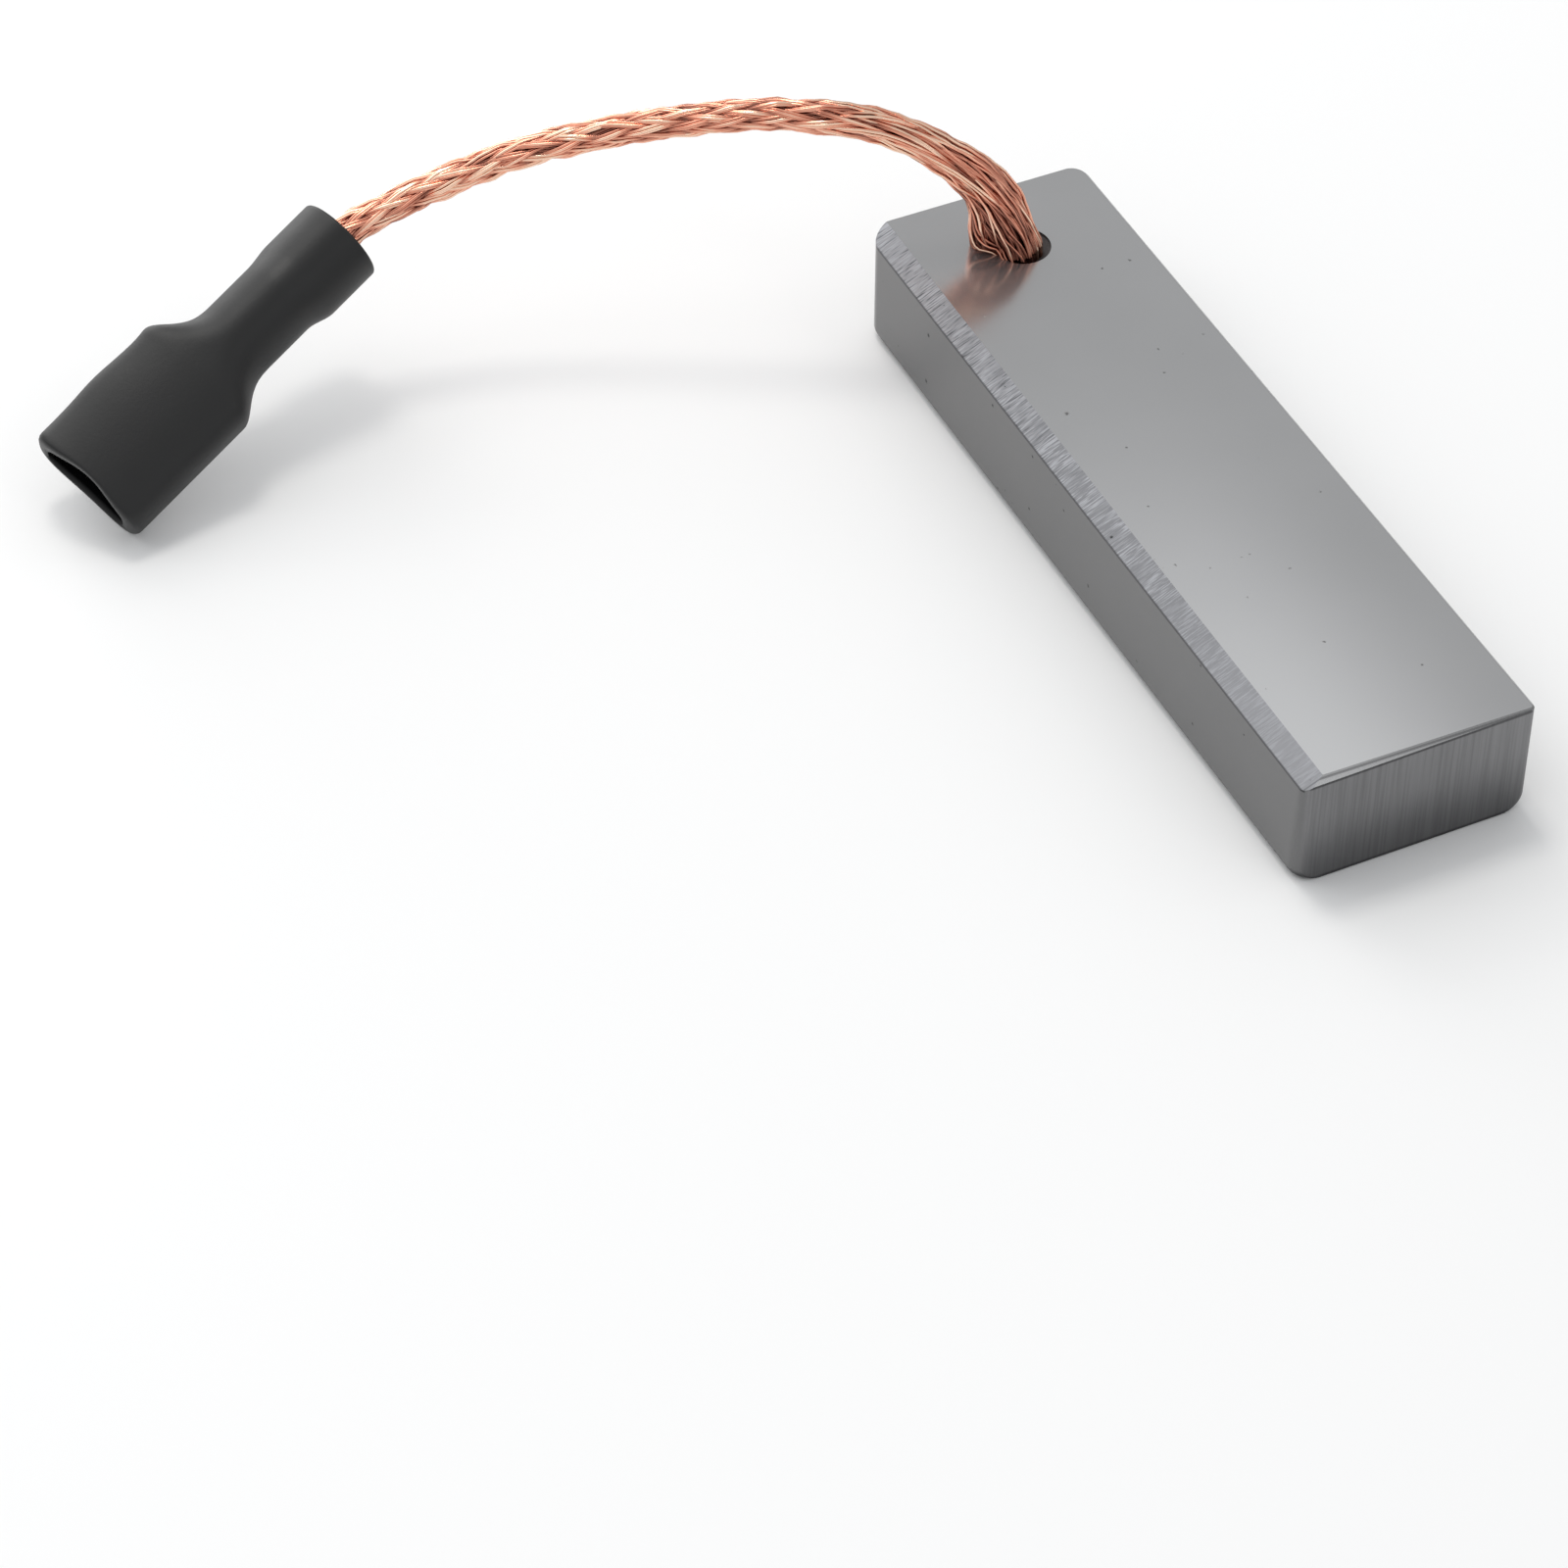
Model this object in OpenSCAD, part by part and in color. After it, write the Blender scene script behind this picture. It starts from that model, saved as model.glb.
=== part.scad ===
// Carbon brush for an electric machine: a pressed carbon block, a braided copper lead
// tamped into it, and a push-on receptacle crimped to the lead under a shrunk sleeve.
// Millimetres. The block lies on its wide face with its length along X. The contact
// end is at +X, and the lead leaves the top face near the -X end.

/* [Block] */
// length, from the lead end to the contact end
block_l = 46; // [30:0.5:70]
// width
block_w = 12.5; // [10:0.1:25]
// thickness
block_t = 6.6; // [5.6:0.1:16]
// long chamfer on one top edge, measured across the top face
chamfer_in = 1.1; // [0.3:0.05:2]
// long chamfer, measured down the side face
chamfer_drop = 0.55; // [0.2:0.05:1.5]
// small break on the other long top edge
top_break = 0.15; // [0.05:0.05:0.6]
// rounding of the long bottom edge under the chamfer
foot_r_left = 0.8; // [0.2:0.05:1.5]
// rounding of the other long bottom edge
foot_r_right = 0.9; // [0.2:0.05:1.5]
// rounding of the upright edge at the lead end, chamfer side
lead_end_r_left = 1.3; // [0.3:0.05:2.5]
// rounding of the other upright edge at the lead end
lead_end_r_right = 0.8; // [0.3:0.05:2.5]
// rounding of the upright edge at the contact end, chamfer side
contact_end_r_left = 0.9; // [0.2:0.05:2.5]
// rounding of the other upright edge at the contact end
contact_end_r_right = 0.35; // [0.1:0.05:2.5]
// bevel along the top edge of the contact end
end_bevel = 0.32; // [0.1:0.02:0.8]
// angle by which that bevel runs out across the width, in degrees
end_bevel_lean = 1; // [0:0.1:1.5]
// rounding of the bottom edge of the contact end
end_foot_r = 0.35; // [0.1:0.05:1]
// rounding of the bottom edge of the lead end
lead_foot_r = 0.5; // [0.1:0.05:1]

/* [Lead hole] */
// distance of the hole from the lead end
hole_from_end = 4.8; // [4:0.1:10]
// offset of the hole from the middle of the width
hole_off = 0.3; // [-2:0.1:2]
// diameter of the hole
hole_d = 3; // [2.8:0.1:4.5]
// depth of the hole
hole_depth = 4.4; // [2.5:0.1:5]
// depth of the tamped powder's rim below the top face
tamp_recess = 0.15; // [0.05:0.05:0.6]
// further depth of the dish in the tamped powder
tamp_dish = 0.3; // [0.1:0.05:0.8]

/* [Lead] */
// outer diameter of the braid
lead_d = 1.8; // [1.2:0.1:2.2]
// clearance round the braid where it is held
lead_fit = 0.05; // [0.02:0.01:0.1]
// clearance under the end of the braid in the hole
lead_end_gap = 0.2; // [0.1:0.05:0.5]
// distance of the braid's other end from the front of the wire crimp
lead_trim = 0.3; // [0:0.05:1]

/* [Receptacle] */
// width of the tab that it takes
tab_w = 4.8; // [2.8:0.1:6.3]
// thickness of the tab that it takes
tab_t = 0.8; // [0.5:0.1:1]
// clearance at each edge of the tab
tab_fit = 0.05; // [0.02:0.01:0.15]
// thickness of the sheet
sheet = 0.35; // [0.25:0.05:0.4]
// length of the receptacle along the tab
recept_l = 6.4; // [5:0.1:8]
// outer radius of the two curled edges
curl_r = 0.6; // [0.5:0.05:0.65]
// straight lip of each curl that bears on the tab
curl_tip = 0.25; // [0.1:0.05:0.5]
// outer bend radius of the two corners of the base
bend_r = 0.5; // [0.45:0.05:0.6]
// diameter of the latching hole in the base
latch_d = 1.4; // [0.8:0.1:1.8]
// angle of the lead-in at the mouth of the curls, in degrees
mouth_angle = 30; // [15:1:40]
// length of the tapering web behind the receptacle
web_l = 2.7; // [2:0.1:4]
// length of the barrel that grips the wires
wire_crimp_l = 3.3; // [2.5:0.1:5]
// length of the strip between the two barrels
bridge_l = 2.2; // [1:0.1:3]
// width of that strip
bridge_w = 1; // [0.6:0.1:1.2]
// length of the second barrel, which steadies the braid
grip_l = 1.8; // [1.5:0.1:4]
// outer radius of the second barrel
grip_r = 1.7; // [1.6:0.05:2]
// width of the seam on the barrels
seam_w = 0.12; // [0.06:0.02:0.3]

/* [Sleeve] */
// wall over the receptacle
wall_flat = 0.45; // [0.3:0.05:0.7]
// wall over the wire crimp, where it has shrunk most
wall_neck = 0.75; // [0.4:0.05:0.9]
// wall at the braid's end
wall_end = 0.6; // [0.4:0.05:0.9]
// clearance between sleeve and terminal across the width
snug_w = 0.23; // [0.15:0.01:0.4]
// clearance between sleeve and terminal across the height
snug_h = 0.27; // [0.2:0.01:0.5]
// clearance between sleeve and barrels
snug_r = 0.1; // [0.05:0.01:0.3]
// start of the sleeve's narrowing, past the back of the receptacle
narrow_from = 0.45; // [0:0.05:0.6]
// end of the sleeve's narrowing, past the front of the wire crimp
narrow_to = 1.2; // [0.2:0.05:1.5]
// how much sooner the sleeve narrows behind the receptacle than over the wire crimp
narrow_lead = 1.6; // [1:0.1:2]
// length of the sleeve's widening, up to the front of the second barrel
widen_l = 1.7; // [0.5:0.1:2]
// overhang past the mouth of the receptacle
mouth_over = 1; // [0.4:0.1:2.5]
// overhang past the second barrel
end_over = 1.2; // [0.8:0.1:3]
// squareness of the flat section, 2 is an ellipse
squareness = 3.4; // [3.2:0.1:4.5]
// arch of the top wall over the receptacle
crown = 0.12; // [0:0.02:0.3]
// hollow of the bottom wall between the two curls
hollow = 0.3; // [0:0.05:0.4]
// rounding of the mouth's two corners, where the cut end curls in
mouth_r = 0.45; // [0.2:0.05:0.6]
// depth to which the cut end dips between those corners, on the top wall
mouth_dip = 0.3; // [0:0.05:0.5]
// rounding of the cut ends
lip_r = 0.12; // [0.05:0.01:0.2]

/* [Lay] */
// heading of the terminal from +X, in degrees
heading = 108.6; // [95:0.1:120]
// angle at which the terminal rises from its mouth, in degrees
lift = 21.2; // [12:0.1:26]
// roll of the terminal about its own axis, in degrees
roll = 26; // [0:1:40]
// place of the mouth along X
mouth_x = -25.5; // [-30:0.1:-22]
// place of the mouth along Y
mouth_y = -48.65; // [-54:0.05:-44]

/* [Hidden] */
$fn = 48;
eps = 0.01;
over = 2;

// lead hole
hole_x = -block_l / 2 + hole_from_end;
root = [hole_x, hole_off, block_t];
bore_r = lead_d / 2 + lead_fit;

// terminal sections: Y across, Z away from the curls, 0 at mid height
half_w = tab_w / 2 + tab_fit + sheet;
recept_h = sheet + tab_t + curl_tip + curl_r;
base_z = recept_h / 2;
curl_z = curl_r - recept_h / 2;
wire_r = bore_r + sheet;
wire_z = base_z - wire_r;
grip_z = base_z - grip_r;

// the strip between the barrels lies lower than their backs by half its room over the braid
bridge_step = lead_fit / 2;

// terminal stations along its axis, 0 at the sleeve's mouth
recept_x = mouth_over;
web_x = recept_x + recept_l;
wire_x = web_x + web_l;
bridge_x = wire_x + wire_crimp_l;
grip_x = bridge_x + bridge_l;
sleeve_l = grip_x + grip_l + end_over;

// outer half sizes of the sleeve
flat_a = half_w + snug_w + wall_flat;
flat_b = recept_h / 2 + snug_h + wall_flat;
neck_a = wire_r + snug_r + wall_neck;
end_a = grip_r + snug_r + wall_end;

// height of the sleeve's axis at its mouth, with the lowest point of the rim on the ground
dual = squareness / (squareness - 1);
lowest = cos(lift) * pow(pow(flat_a * sin(roll), dual) + pow(flat_b * cos(roll), dual), 1 / dual);
clear_ground = 0.03;
mouth_at = [mouth_x, mouth_y, lowest + clear_ground];

// axes of the terminal, as the rotations below turn them
along = [cos(heading) * cos(lift), sin(heading) * cos(lift), sin(lift)];
side = [
    -sin(heading) * cos(roll) - cos(heading) * sin(lift) * sin(roll),
    cos(heading) * cos(roll) - sin(heading) * sin(lift) * sin(roll),
    cos(lift) * sin(roll)
];
upward = cross(along, side);
function on_axis(x, z) = mouth_at + x * along + z * upward;

// free route of the lead over the block and down to the sleeve, between two ends that it was
// chosen for, and carried along evenly where a size moves one of them
design_root = [-18.2, 0.3, 6.6];
design_end = [-31.2, -32.2, 8.8];
free_route = [
    [-18.8, -0.5, 8.6],
    [-19.7, -1.8, 10.4],
    [-20.7, -3.2, 11.8],
    [-21.8, -4.9, 12.9],
    [-22.9, -6.9, 13.6],
    [-23.9, -8.9, 13.9],
    [-25.0, -10.9, 14.0],
    [-26.0, -13.0, 13.8],
    [-27.0, -15.0, 13.5],
    [-28.0, -17.1, 13.1],
    [-28.9, -19.1, 12.6],
    [-29.7, -21.2, 12.1],
    [-30.4, -23.3, 11.5],
    [-30.9, -25.5, 10.8],
    [-31.2, -27.7, 10.2],
    [-31.3, -29.9, 9.6]
];
lead_stop = on_axis(wire_x + lead_trim, wire_z);
root_shift = root - design_root;
end_shift = on_axis(sleeve_l, wire_z) - design_end;
function share(i) = (i + 1) / (len(free_route) + 1);
route = concat(
    [
        root - [0, 0, hole_depth - lead_end_gap],
        root - [0, 0, hole_depth / 2],
        root
    ],
    [for (i = [0 : len(free_route) - 1])
        free_route[i] + root_shift * (1 - share(i)) + end_shift * share(i)],
    [on_axis(sleeve_l, wire_z), on_axis(grip_x, wire_z), lead_stop]
);

function unit(v) = v / norm(v);
function tangent(p, i) = unit(p[min(i + 1, len(p) - 1)] - p[max(i - 1, 0)]);
function ease(t) = let (c = max(0, min(1, t))) c * c * (3 - 2 * c);

// quads between rings of n points, closed by the two end rings
function tube_faces(rings, n) = concat(
    [[for (k = [0 : n - 1]) k]],
    [for (i = [0 : rings - 2], k = [0 : n - 1])
        [i * n + k, (i + 1) * n + k, (i + 1) * n + (k + 1) % n, i * n + (k + 1) % n]],
    [[for (k = [n - 1 : -1 : 0]) (rings - 1) * n + k]]
);

// a direction across the lead's path, which no stretch of it follows
lead_ref = [0.93, -0.37, 0];
lead_sides = 8;
function lead_ring(p, i, r) =
    let (t = tangent(p, i), u = unit(cross(lead_ref, t)), v = cross(t, u))
    [for (k = [0 : lead_sides - 1])
        p[i] - r * (cos(k * 360 / lead_sides) * u + sin(k * 360 / lead_sides) * v)];

// sleeve: a section is [half width, half height, squareness, centre height, share of arch]
sleeve_sides = 48;
to_neck = [web_x + narrow_from, wire_x + narrow_to];
to_end = [grip_x - widen_l, grip_x];
function sooner(t, power) = 1 - pow(1 - max(0, min(1, t)), power);
function neck_share(x) = ease(sooner((x - to_neck[0]) / (to_neck[1] - to_neck[0]), narrow_lead));
function end_share(x) = ease((x - to_end[0]) / (to_end[1] - to_end[0]));
function sleeve_section(x) =
    let (f = neck_share(x), g = end_share(x))
    [
        flat_a + (neck_a - flat_a) * f + (end_a - neck_a) * g,
        flat_b + (neck_a - flat_b) * f + (end_a - neck_a) * g,
        squareness + (2 - squareness) * f,
        wire_z * f + (grip_z - wire_z) * g,
        pow(1 - f, 2)
    ];
function sleeve_wall(x) =
    wall_flat + (wall_neck - wall_flat) * neck_share(x) + (wall_end - wall_neck) * end_share(x);
function curve(c, p) = sign(c) * pow(abs(c), 2 / p);
function bump(y, w) = abs(y) < w ? pow(cos(90 * y / w), 2) : 0;
arch_span = 0.8;

// what the curl at the mouth takes off the half width, and how far the dip reaches along the sleeve
function curl_in(x) = x < mouth_r ? mouth_r - sqrt(pow(mouth_r, 2) - pow(mouth_r - x, 2)) : 0;
dip_l = 2;
function dip_share(x) = pow(max(0, 1 - x / dip_l), 2);
function sleeve_ring(x, inset) =
    let (s = sleeve_section(x), a = s[0] - inset - curl_in(x), b = s[1] - inset)
    [for (k = [0 : sleeve_sides - 1])
        let (
            th = k * 360 / sleeve_sides,
            y = a * curve(cos(th), s[2]),
            z = b * curve(sin(th), s[2]),
            arch = (sin(th) > 0 ? crown : hollow) * bump(y, arch_span * s[0]) * s[4],
            dip = sin(th) > 0 ? mouth_dip * bump(y, a) * dip_share(x) : 0
        )
        [x + dip, y, z + arch + s[3]]];

// stations of the sleeve's rings, closer together at the cut ends and where it changes width
function steps(from, to, n) = [for (i = [1 : n]) from + (to - from) * i / n];
lip_step = 0.4;
sleeve_stations = concat(
    [lip_r],
    steps(lip_r, mouth_r, 2),
    steps(mouth_r, to_neck[0], 6),
    steps(to_neck[0], to_neck[1], 9),
    steps(to_neck[1], to_end[0], 3),
    steps(to_end[0], to_end[1], 6),
    [(to_end[1] + sleeve_l) / 2, sleeve_l - lip_step, sleeve_l - lip_r]
);

// places what follows on the terminal's axis
module at_terminal() {
    translate(mouth_at)
        rotate([0, 0, heading])
            rotate([0, -lift, 0])
                rotate([roll, 0, 0])
                    children();
}

// extrudes a section drawn in Y and Z along X
module along_x(from, to) {
    translate([from, 0, 0])
        rotate([90, 0, 90])
            linear_extrude(height = to - from)
                children();
}

// what a rounding of radius r takes off a square corner at the origin
module corner_waste(r) {
    difference() {
        translate([-over, -over])
            square(r + over);
        translate([r, r])
            circle(r);
    }
}

module block_section() {
    difference() {
        translate([-block_w / 2, 0])
            square([block_w, block_t]);
        polygon([
            [-block_w / 2, block_t - chamfer_drop],
            [-block_w / 2 + chamfer_in, block_t],
            [-block_w / 2 + chamfer_in, block_t + over],
            [-block_w / 2 - over, block_t + over],
            [-block_w / 2 - over, block_t - chamfer_drop]
        ]);
        polygon([
            [block_w / 2, block_t - top_break],
            [block_w / 2 - top_break, block_t],
            [block_w / 2 - top_break, block_t + over],
            [block_w / 2 + over, block_t + over],
            [block_w / 2 + over, block_t - top_break]
        ]);
        translate([-block_w / 2, 0])
            corner_waste(foot_r_left);
        translate([block_w / 2, 0])
            mirror([1, 0])
                corner_waste(foot_r_right);
    }
}

module block_plan() {
    difference() {
        translate([-block_l / 2, -block_w / 2])
            square([block_l, block_w]);
        translate([-block_l / 2, -block_w / 2])
            corner_waste(lead_end_r_left);
        translate([-block_l / 2, block_w / 2])
            mirror([0, 1])
                corner_waste(lead_end_r_right);
        translate([block_l / 2, -block_w / 2])
            mirror([1, 0])
                corner_waste(contact_end_r_left);
        translate([block_l / 2, block_w / 2])
            rotate([0, 0, 180])
                corner_waste(contact_end_r_right);
    }
}

// cuts a rounding along a bottom edge of an end, X pointing out of the block
module end_foot(r) {
    rotate([90, 0, 0])
        linear_extrude(height = block_w + over, center = true)
            mirror([1, 0])
                corner_waste(r);
}

module carbon_block() {
    color("dimgray")
        difference() {
            intersection() {
                along_x(-block_l / 2 - over, block_l / 2 + over)
                    block_section();
                translate([0, 0, -over])
                    linear_extrude(height = block_t + 2 * over)
                        block_plan();
            }
            translate([block_l / 2 - end_bevel, -block_w / 2, block_t])
                rotate([0, 0, -end_bevel_lean])
                    rotate([0, 45, 0])
                        translate([-over, -over, 0])
                            cube([2 * over, block_w + 2 * over, over]);
            translate([block_l / 2, 0, 0])
                end_foot(end_foot_r);
            translate([-block_l / 2, 0, 0])
                mirror([1, 0, 0])
                    end_foot(lead_foot_r);
            translate(root - [0, 0, hole_depth])
                cylinder(h = hole_depth + over, d = hole_d);
        }
}

module tamping_plug() {
    color("darkslategray")
        translate(root - [0, 0, hole_depth])
            rotate_extrude()
                polygon([
                    [bore_r, 0],
                    [hole_d / 2, 0],
                    [hole_d / 2, hole_depth - tamp_recess],
                    [bore_r, hole_depth - tamp_recess - tamp_dish]
                ]);
}

module pigtail() {
    color("chocolate")
        polyhedron(
            points = [for (i = [0 : len(route) - 1]) each lead_ring(route, i, lead_d / 2)],
            faces = tube_faces(len(route), lead_sides),
            convexity = 4
        );
}

// one half of the receptacle's section, on the +Y side
module half_recept_section() {
    translate([-eps, base_z - sheet])
        square([half_w - bend_r + 2 * eps, sheet]);
    translate([half_w - bend_r, base_z - bend_r])
        intersection() {
            difference() {
                circle(bend_r);
                circle(bend_r - sheet);
            }
            square(bend_r + eps);
        }
    translate([half_w - sheet, curl_z - eps])
        square([sheet, base_z - bend_r - curl_z + 2 * eps]);
    translate([half_w - curl_r, curl_z])
        intersection() {
            difference() {
                circle(curl_r);
                circle(curl_r - sheet);
            }
            translate([-curl_r - eps, -curl_r - eps])
                square([2 * curl_r + 2 * eps, curl_r + eps]);
        }
    translate([half_w - 2 * curl_r, curl_z - eps])
        square([sheet, curl_tip + eps]);
}

module recept_section() {
    half_recept_section();
    mirror([1, 0])
        half_recept_section();
}

// a barrel with its base towards +Z and its closed seam towards -Z
module barrel_section(r, z) {
    translate([0, z])
        difference() {
            circle(r);
            circle(r - sheet);
            translate([-seam_w / 2, -r - over])
                square([seam_w, r + over]);
        }
}

// one side of the lead-in, cut from the curls at the mouth
module mouth_waste() {
    translate([recept_x, 0, base_z - bend_r])
        rotate([0, mouth_angle, 0])
            translate([-over, -half_w - over, -2 * over])
                cube([over, 2 * half_w + 2 * over, 2 * over]);
}

module female_terminal() {
    color("gold")
        at_terminal() {
            difference() {
                along_x(recept_x, web_x)
                    recept_section();
                mouth_waste();
                translate([recept_x + recept_l / 2, 0, base_z - sheet - eps])
                    cylinder(h = sheet + 2 * eps, d = latch_d);
            }
            translate([0, 0, base_z - sheet])
                linear_extrude(height = sheet)
                    polygon([
                        [web_x - eps, -half_w + bend_r],
                        [web_x - eps, half_w - bend_r],
                        [wire_x + eps, bridge_w / 2],
                        [wire_x + eps, -bridge_w / 2]
                    ]);
            along_x(wire_x, bridge_x)
                barrel_section(wire_r, wire_z);
            translate([bridge_x - eps, -bridge_w / 2, base_z - bridge_step - sheet])
                cube([bridge_l + 2 * eps, bridge_w, sheet]);
            along_x(grip_x, grip_x + grip_l)
                barrel_section(grip_r, grip_z);
        }
}

module insulating_sleeve() {
    n = sleeve_sides;
    outer = concat(
        [sleeve_ring(0, lip_r)],
        [for (x = sleeve_stations) sleeve_ring(x, 0)],
        [sleeve_ring(sleeve_l, lip_r)]
    );
    inner = concat(
        [sleeve_ring(0, sleeve_wall(0))],
        [for (x = sleeve_stations) sleeve_ring(x, sleeve_wall(x))],
        [sleeve_ring(sleeve_l, sleeve_wall(sleeve_l))]
    );
    rings = len(outer);
    at = rings * n;
    quads_out = [for (i = [0 : rings - 2], k = [0 : n - 1])
        [i * n + k, i * n + (k + 1) % n, (i + 1) * n + (k + 1) % n, (i + 1) * n + k]];
    quads_in = [for (i = [0 : rings - 2], k = [0 : n - 1])
        [at + i * n + k, at + (i + 1) * n + k, at + (i + 1) * n + (k + 1) % n, at + i * n + (k + 1) % n]];
    rim_mouth = [for (k = [0 : n - 1]) [k, at + k, at + (k + 1) % n, (k + 1) % n]];
    last = (rings - 1) * n;
    rim_end = [for (k = [0 : n - 1])
        [last + k, last + (k + 1) % n, at + last + (k + 1) % n, at + last + k]];
    color("black")
        at_terminal()
            polyhedron(
                points = concat([for (ring = outer) each ring], [for (ring = inner) each ring]),
                faces = concat(quads_out, quads_in, rim_mouth, rim_end),
                convexity = 6
            );
}

carbon_block();
tamping_plug();
pigtail();
female_terminal();
insulating_sleeve();
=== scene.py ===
"""Carbon brush: a pressed carbon block, a braided copper lead and a shrunk black sleeve.

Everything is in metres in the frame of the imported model. Sizes are written in
millimetres and multiplied by MM. The camera and the lead come first, then the sleeve,
the block, the finishes and the studio.
"""

import math
from collections import namedtuple

import bmesh
import bpy
import numpy as np
from mathutils import Matrix, Vector


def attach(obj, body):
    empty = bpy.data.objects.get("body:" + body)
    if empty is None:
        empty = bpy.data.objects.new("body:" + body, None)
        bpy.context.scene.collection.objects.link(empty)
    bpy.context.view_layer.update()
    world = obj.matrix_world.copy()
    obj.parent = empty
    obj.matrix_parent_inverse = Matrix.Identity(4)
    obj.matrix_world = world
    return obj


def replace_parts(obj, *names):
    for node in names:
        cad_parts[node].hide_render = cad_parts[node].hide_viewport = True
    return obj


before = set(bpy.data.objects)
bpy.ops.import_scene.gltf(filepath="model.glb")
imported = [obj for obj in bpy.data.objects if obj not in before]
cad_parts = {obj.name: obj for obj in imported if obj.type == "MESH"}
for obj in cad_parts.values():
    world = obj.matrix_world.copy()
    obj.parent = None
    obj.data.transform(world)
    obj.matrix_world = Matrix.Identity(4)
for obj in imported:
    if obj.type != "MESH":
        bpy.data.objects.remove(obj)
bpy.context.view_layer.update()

MM = 0.001
BODY = "root"

# camera, as the block's own edges in the photograph give it
CAMERA_AT = (170.6, -103.77, 176.25)
CAMERA_YAW = 154.367
CAMERA_PITCH = 44.076
CAMERA_ROLL = 0.295
CAMERA_LENS = 121.27
CAMERA_SENSOR = 36.0

# lay of the terminal and its sleeve, as in the solids
MOUTH_AT = np.array([-25.5, -48.65, 2.365])
HEADING = math.radians(108.6)
LIFT = math.radians(21.2)
ROLL = math.radians(26.0)

# terminal and sleeve sizes, as in the solids
RECEPT_HALF_W = 2.8
RECEPT_HALF_H = 1.0
WEB_X = 7.4
WIRE_X = 10.1
GRIP_X = 15.6
SLEEVE_L = 18.6
WIRE_R = 1.3
GRIP_R = 1.7
WIRE_Z = RECEPT_HALF_H - WIRE_R
GRIP_Z = RECEPT_HALF_H - GRIP_R
WALL_FLAT = 0.45
WALL_NECK = 0.75
WALL_END = 0.6
SNUG_W = 0.23
SNUG_H = 0.27
SNUG_R = 0.1
NARROW_FROM = 0.45
NARROW_TO = 1.2
NARROW_LEAD = 1.6
WIDEN_L = 1.7
SQUARENESS = 3.4
CROWN = 0.12
HOLLOW = 0.3
ARCH_SPAN = 0.8
MOUTH_R = 0.45
MOUTH_DIP = 0.3
DIP_L = 2.0

# block, as in the solids
BLOCK_L = 46.0
BLOCK_W = 12.5
BLOCK_T = 6.6
CHAMFER_IN = 1.1
CHAMFER_DROP = 0.55
TOP_BREAK = 0.15
END_BEVEL = 0.32
END_BEVEL_LEAN = math.tan(math.radians(1))
HOLE_D = 3.0
HOLE_DEPTH = 4.4

# lead, as in the solids
LEAD_TRIM = 0.3
ROOT = (-18.2, 0.3, 6.6)
HOLE_STUB = [(-18.2, 0.3, 2.4), (-18.2, 0.3, 4.4)]
FREE_ROUTE = [
    (-18.8, -0.5, 8.6),
    (-19.7, -1.8, 10.4),
    (-20.7, -3.2, 11.8),
    (-21.8, -4.9, 12.9),
    (-22.9, -6.9, 13.6),
    (-23.9, -8.9, 13.9),
    (-25.0, -10.9, 14.0),
    (-26.0, -13.0, 13.8),
    (-27.0, -15.0, 13.5),
    (-28.0, -17.1, 13.1),
    (-28.9, -19.1, 12.6),
    (-29.7, -21.2, 12.1),
    (-30.4, -23.3, 11.5),
    (-30.9, -25.5, 10.8),
    (-31.2, -27.7, 10.2),
    (-31.3, -29.9, 9.6),
]


def unit(v):
    return v / np.linalg.norm(v)


def terminal_axes():
    """Axes of the terminal: along it, across it, and up out of its flat back."""
    along = np.array([
        math.cos(HEADING) * math.cos(LIFT),
        math.sin(HEADING) * math.cos(LIFT),
        math.sin(LIFT),
    ])
    side = np.array([
        -math.sin(HEADING) * math.cos(ROLL) - math.cos(HEADING) * math.sin(LIFT) * math.sin(ROLL),
        math.cos(HEADING) * math.cos(ROLL) - math.sin(HEADING) * math.sin(LIFT) * math.sin(ROLL),
        math.cos(LIFT) * math.sin(ROLL),
    ])
    return along, side, np.cross(along, side)


ALONG, SIDE, UPWARD = terminal_axes()


def at_terminal(x, y, z):
    """A point of the terminal's own frame in the row frame, in metres."""
    x, y, z = (np.asarray(v, float)[..., None] for v in (x, y, z))
    return (MOUTH_AT + x * ALONG + y * SIDE + z * UPWARD) * MM


def link(thing):
    bpy.context.scene.collection.objects.link(thing)
    return thing


def make_camera():
    yaw, pitch, roll = (math.radians(a) for a in (CAMERA_YAW, CAMERA_PITCH, CAMERA_ROLL))
    look = np.array([math.cos(pitch) * math.cos(yaw), math.cos(pitch) * math.sin(yaw), -math.sin(pitch)])
    level = np.array([math.sin(yaw), -math.cos(yaw), 0.0])
    upright = np.cross(level, look)
    right = math.cos(roll) * level + math.sin(roll) * upright
    up = -math.sin(roll) * level + math.cos(roll) * upright
    data = bpy.data.cameras.new("camera")
    data.lens = CAMERA_LENS
    data.sensor_width = CAMERA_SENSOR
    data.clip_start = 0.01
    data.clip_end = 20
    camera = link(bpy.data.objects.new("camera", data))
    turn = Matrix((right, up, -look)).transposed().to_4x4()
    camera.matrix_world = Matrix.Translation(Vector(CAMERA_AT) * MM) @ turn
    bpy.context.scene.camera = camera


def make_object(name, verts, faces, material, attributes=None):
    """A smooth-shaded piece that rides on the one body."""
    mesh = bpy.data.meshes.new(name)
    mesh.from_pydata([tuple(v) for v in verts], [], [tuple(f) for f in faces])
    mesh.polygons.foreach_set("use_smooth", [True] * len(mesh.polygons))
    for key, values in (attributes or {}).items():
        mesh.attributes.new(key, "FLOAT", "POINT").data.foreach_set("value", values)
    mesh.materials.append(material)
    mesh.update()
    piece = link(bpy.data.objects.new(name, mesh))
    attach(piece, BODY)
    return piece


# paths and frames

SPLINE_SAMPLES = 4000


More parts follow.
